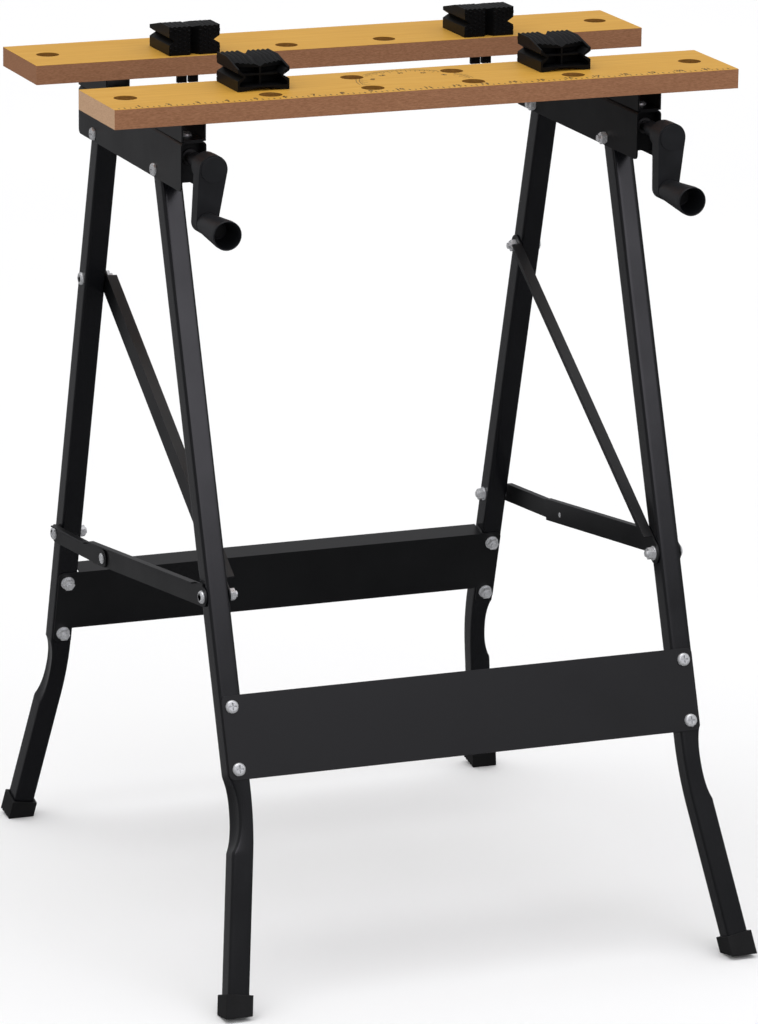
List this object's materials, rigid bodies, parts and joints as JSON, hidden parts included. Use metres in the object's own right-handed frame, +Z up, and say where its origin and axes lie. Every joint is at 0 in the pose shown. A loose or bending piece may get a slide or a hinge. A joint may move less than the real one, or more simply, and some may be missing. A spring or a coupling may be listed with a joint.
{
  "type": "folding clamping workbench",
  "caption": "Folding clamping workbench: vise boards on cranked screws, hinged leg frames with knee braces and diagonal stays, and lift-out clamping pegs.",
  "frame": {"origin": "on the floor, midway between the four feet", "axes": "+Z up, +X along the boards to the right seen from the cranks, -Y toward the side with the cranks"},
  "size_m": [0.6, 0.6438, 0.818],
  "materials": {
    "board_wood": "golden printed fibreboard with bare brown edges",
    "black_steel": "satin black powder coat",
    "zinc_steel": "bright zinc plate",
    "screw_steel": "plain oiled steel",
    "black_plastic": "moulded black plastic",
    "black_rubber": "black rubber"
  },
  "bodies": {
    "top": {"front_board": "board_wood", "left_bracket": "black_steel", "right_bracket": "black_steel", "left_front_carrier": "black_steel", "right_front_carrier": "black_steel", "left_carrier_bolts": "zinc_steel", "right_carrier_bolts": "zinc_steel", "left_pivot_bolts": "zinc_steel", "right_pivot_bolts": "zinc_steel"},
    "jaw": {"rear_board": "board_wood", "left_rear_carrier": "black_steel", "right_rear_carrier": "black_steel", "left_clamp_nut": "screw_steel", "right_clamp_nut": "screw_steel", "left_clamp_nut_bolt": "zinc_steel", "right_clamp_nut_bolt": "zinc_steel"},
    "front_legs": {"left_front_leg": "black_steel", "right_front_leg": "black_steel", "left_front_foot": "black_rubber", "right_front_foot": "black_rubber", "front_crossbar": "black_steel", "left_front_bar_bolts": "zinc_steel", "right_front_bar_bolts": "zinc_steel", "left_front_brace_bolt": "zinc_steel", "right_front_brace_bolt": "zinc_steel"},
    "rear_legs": {"left_rear_leg": "black_steel", "right_rear_leg": "black_steel", "left_rear_foot": "black_rubber", "right_rear_foot": "black_rubber", "rear_crossbar": "black_steel", "left_rear_bar_bolts": "zinc_steel", "right_rear_bar_bolts": "zinc_steel", "left_rear_brace_bolts": "zinc_steel", "right_rear_brace_bolts": "zinc_steel"},
    "left_crank": {"left_clamp_screw": "screw_steel", "left_crank": "black_plastic", "left_grip_pin": "zinc_steel"},
    "left_grip": {"left_grip": "black_plastic"},
    "left_diagonal": {"left_diagonal": "black_steel", "left_diagonal_end_nut": "zinc_steel"},
    "left_front_knee": {"left_front_knee_link": "black_steel", "left_knee_rivet": "zinc_steel"},
    "left_rear_knee": {"left_rear_knee_link": "black_steel", "left_rear_link_bolt": "zinc_steel"},
    "left_front_peg": {"left_front_peg": "black_plastic"},
    "left_rear_peg": {"left_rear_peg": "black_plastic"},
    "right_crank": {"right_clamp_screw": "screw_steel", "right_crank": "black_plastic", "right_grip_pin": "zinc_steel"},
    "right_grip": {"right_grip": "black_plastic"},
    "right_diagonal": {"right_diagonal": "black_steel", "right_diagonal_end_nut": "zinc_steel"},
    "right_front_knee": {"right_front_knee_link": "black_steel", "right_knee_rivet": "zinc_steel"},
    "right_rear_knee": {"right_rear_knee_link": "black_steel", "right_rear_link_bolt": "zinc_steel"},
    "right_front_peg": {"right_front_peg": "black_plastic"},
    "right_rear_peg": {"right_rear_peg": "black_plastic"}
  },
  "joints": [
    {"name": "jaw_slide", "type": "slide", "parent": "top", "child": "jaw", "axis": [0, -1, 0], "range_m": [0, 0.116]},
    {"name": "left_crank_turn", "type": "hinge", "parent": "top", "child": "left_crank", "pos_m": [-0.22, -0.177, 0.7385], "axis": [0, 1, 0], "range_deg": [0, 10441]},
    {"name": "right_crank_turn", "type": "hinge", "parent": "top", "child": "right_crank", "pos_m": [0.22, -0.177, 0.7385], "axis": [0, 1, 0], "range_deg": [0, 10441]},
    {"name": "left_grip_spin", "type": "hinge", "parent": "left_crank", "child": "left_grip", "pos_m": [-0.22585, -0.197, 0.69086], "axis": [0, 1, 0], "continuous": true},
    {"name": "right_grip_spin", "type": "hinge", "parent": "right_crank", "child": "right_grip", "pos_m": [0.21749, -0.197, 0.69057], "axis": [0, 1, 0], "continuous": true},
    {"name": "front_leg_fold", "type": "hinge", "parent": "top", "child": "front_legs", "pos_m": [0, -0.055, 0.716], "axis": [-1, 0, 0], "range_deg": [0, 44]},
    {"name": "rear_leg_fold", "type": "hinge", "parent": "top", "child": "rear_legs", "pos_m": [0, 0.113, 0.716], "axis": [-1, 0, 0], "range_deg": [0, 68.21]},
    {"name": "left_diagonal_swing", "type": "hinge", "parent": "front_legs", "child": "left_diagonal", "pos_m": [-0.209, -0.18427, 0.35303], "axis": [1, 0, 0], "range_deg": [0, 22.71]},
    {"name": "left_front_knee_swing", "type": "hinge", "parent": "front_legs", "child": "left_front_knee", "pos_m": [-0.231, -0.18427, 0.35303], "axis": [1, 0, 0], "range_deg": [0, 54.97]},
    {"name": "left_knee_fold", "type": "hinge", "parent": "left_front_knee", "child": "left_rear_knee", "pos_m": [-0.233, 0.08522, 0.31822], "axis": [-1, 0, 0], "range_deg": [0, 139.26]},
    {"name": "right_diagonal_swing", "type": "hinge", "parent": "front_legs", "child": "right_diagonal", "pos_m": [0.209, -0.18427, 0.35303], "axis": [1, 0, 0], "range_deg": [0, 22.71]},
    {"name": "right_front_knee_swing", "type": "hinge", "parent": "front_legs", "child": "right_front_knee", "pos_m": [0.231, -0.18427, 0.35303], "axis": [1, 0, 0], "range_deg": [0, 54.97]},
    {"name": "right_knee_fold", "type": "hinge", "parent": "right_front_knee", "child": "right_rear_knee", "pos_m": [0.233, 0.08522, 0.31822], "axis": [-1, 0, 0], "range_deg": [0, 139.26]},
    {"name": "left_front_peg_lift", "type": "slide", "parent": "top", "child": "left_front_peg", "axis": [0, 0, 1], "range_m": [0, 0.06]},
    {"name": "left_rear_peg_lift", "type": "slide", "parent": "jaw", "child": "left_rear_peg", "axis": [0, 0, 1], "range_m": [0, 0.06]},
    {"name": "right_front_peg_lift", "type": "slide", "parent": "top", "child": "right_front_peg", "axis": [0, 0, 1], "range_m": [0, 0.06]},
    {"name": "right_rear_peg_lift", "type": "slide", "parent": "jaw", "child": "right_rear_peg", "axis": [0, 0, 1], "range_m": [0, 0.06]}
  ],
  "couplings": [
    {"joint": "left_crank_turn", "follows": "jaw_slide", "rad_per_m": 1570.8},
    {"joint": "right_crank_turn", "follows": "jaw_slide", "rad_per_m": 1570.8},
    {"joint": "rear_leg_fold", "follows": "front_leg_fold", "ratio": 1.5491},
    {"joint": "left_diagonal_swing", "follows": "front_leg_fold", "ratio": 0.51501},
    {"joint": "left_front_knee_swing", "follows": "front_leg_fold", "ratio": 1.2482},
    {"joint": "left_knee_fold", "follows": "front_leg_fold", "ratio": 3.1639},
    {"joint": "right_diagonal_swing", "follows": "front_leg_fold", "ratio": 0.51501},
    {"joint": "right_front_knee_swing", "follows": "front_leg_fold", "ratio": 1.2482},
    {"joint": "right_knee_fold", "follows": "front_leg_fold", "ratio": 3.1639}
  ]
}
